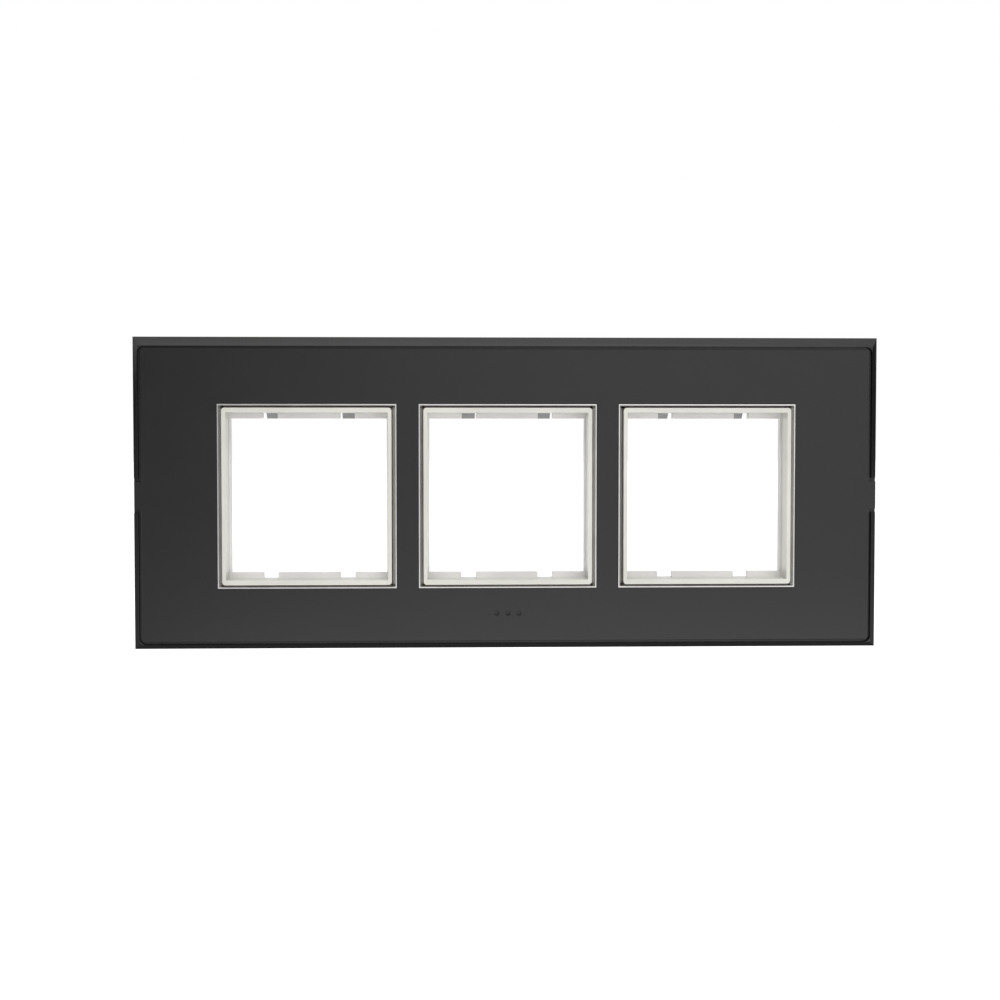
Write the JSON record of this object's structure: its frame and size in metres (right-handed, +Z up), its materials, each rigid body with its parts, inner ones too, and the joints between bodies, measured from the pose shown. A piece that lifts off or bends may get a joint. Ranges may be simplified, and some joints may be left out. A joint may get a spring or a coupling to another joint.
{
  "type": "modular wall plate",
  "caption": "Rectangular wall plate with square module windows: a dark clip-on cover over a white frame that is screwed to a wall box.",
  "frame": {"origin": "centre of the middle window on the wall plane, which is also the middle of the four box screws", "axes": "+X to the right along the plate's width, +Y into the wall, +Z up; the room is on the -Y side"},
  "size_m": [0.2158, 0.0321, 0.0902],
  "materials": {
    "panel_graphite": "fine satin",
    "cover_dark": "satin moulded",
    "trim_silver": "plated, bright",
    "surround_cream": "semi-gloss moulded",
    "frame_white": "moulded, lightly grained",
    "latch_grey": "smooth acetal",
    "screw_steel": "zinc plated",
    "washer_nylon": "natural nylon"
  },
  "bodies": {
    "mounting_frame": {"mounting_frame": "frame_white", "module_surround_left": "surround_cream", "module_surround_centre": "surround_cream", "module_surround_right": "surround_cream", "screw_washers": "washer_nylon"},
    "cover": {"cover_frame": "cover_dark", "face_panel": "panel_graphite", "window_trim_left": "trim_silver", "window_trim_centre": "trim_silver", "window_trim_right": "trim_silver"},
    "latch_left_1": {"module_latch_left_1": "latch_grey"},
    "latch_left_2": {"module_latch_left_2": "latch_grey"},
    "latch_centre_1": {"module_latch_centre_1": "latch_grey"},
    "latch_centre_2": {"module_latch_centre_2": "latch_grey"},
    "latch_right_1": {"module_latch_right_1": "latch_grey"},
    "latch_right_2": {"module_latch_right_2": "latch_grey"},
    "screw_upper_left": {"box_screw_upper_left": "screw_steel"},
    "screw_upper_right": {"box_screw_upper_right": "screw_steel"},
    "screw_lower_left": {"box_screw_lower_left": "screw_steel"},
    "screw_lower_right": {"box_screw_lower_right": "screw_steel"}
  },
  "joints": [
    {"name": "cover_pull", "type": "slide", "parent": "mounting_frame", "child": "cover", "axis": [0, -1, 0], "range_m": [0, 0.03]},
    {"name": "latch_left_1_rock", "type": "hinge", "parent": "mounting_frame", "child": "latch_left_1", "pos_m": [-0.06925, -0.00155, 0.0251], "axis": [1, 0, 0], "range_deg": [0, 11], "stiffness_Nm_per_rad": 0.08},
    {"name": "latch_left_2_rock", "type": "hinge", "parent": "mounting_frame", "child": "latch_left_2", "pos_m": [-0.04675, -0.00155, 0.0251], "axis": [1, 0, 0], "range_deg": [0, 11], "stiffness_Nm_per_rad": 0.08},
    {"name": "latch_centre_1_rock", "type": "hinge", "parent": "mounting_frame", "child": "latch_centre_1", "pos_m": [-0.01125, -0.00155, 0.0251], "axis": [1, 0, 0], "range_deg": [0, 11], "stiffness_Nm_per_rad": 0.08},
    {"name": "latch_centre_2_rock", "type": "hinge", "parent": "mounting_frame", "child": "latch_centre_2", "pos_m": [0.01125, -0.00155, 0.0251], "axis": [1, 0, 0], "range_deg": [0, 11], "stiffness_Nm_per_rad": 0.08},
    {"name": "latch_right_1_rock", "type": "hinge", "parent": "mounting_frame", "child": "latch_right_1", "pos_m": [0.04675, -0.00155, 0.0251], "axis": [1, 0, 0], "range_deg": [0, 11], "stiffness_Nm_per_rad": 0.08},
    {"name": "latch_right_2_rock", "type": "hinge", "parent": "mounting_frame", "child": "latch_right_2", "pos_m": [0.06925, -0.00155, 0.0251], "axis": [1, 0, 0], "range_deg": [0, 11], "stiffness_Nm_per_rad": 0.08},
    {"name": "screw_upper_left_turn", "type": "hinge", "parent": "mounting_frame", "child": "screw_upper_left", "pos_m": [-0.092, 0, 0.03], "axis": [0, 1, 0], "continuous": true},
    {"name": "screw_upper_right_turn", "type": "hinge", "parent": "mounting_frame", "child": "screw_upper_right", "pos_m": [0.092, 0, 0.03], "axis": [0, 1, 0], "continuous": true},
    {"name": "screw_lower_left_turn", "type": "hinge", "parent": "mounting_frame", "child": "screw_lower_left", "pos_m": [-0.092, 0, -0.03], "axis": [0, 1, 0], "continuous": true},
    {"name": "screw_lower_right_turn", "type": "hinge", "parent": "mounting_frame", "child": "screw_lower_right", "pos_m": [0.092, 0, -0.03], "axis": [0, 1, 0], "continuous": true}
  ]
}
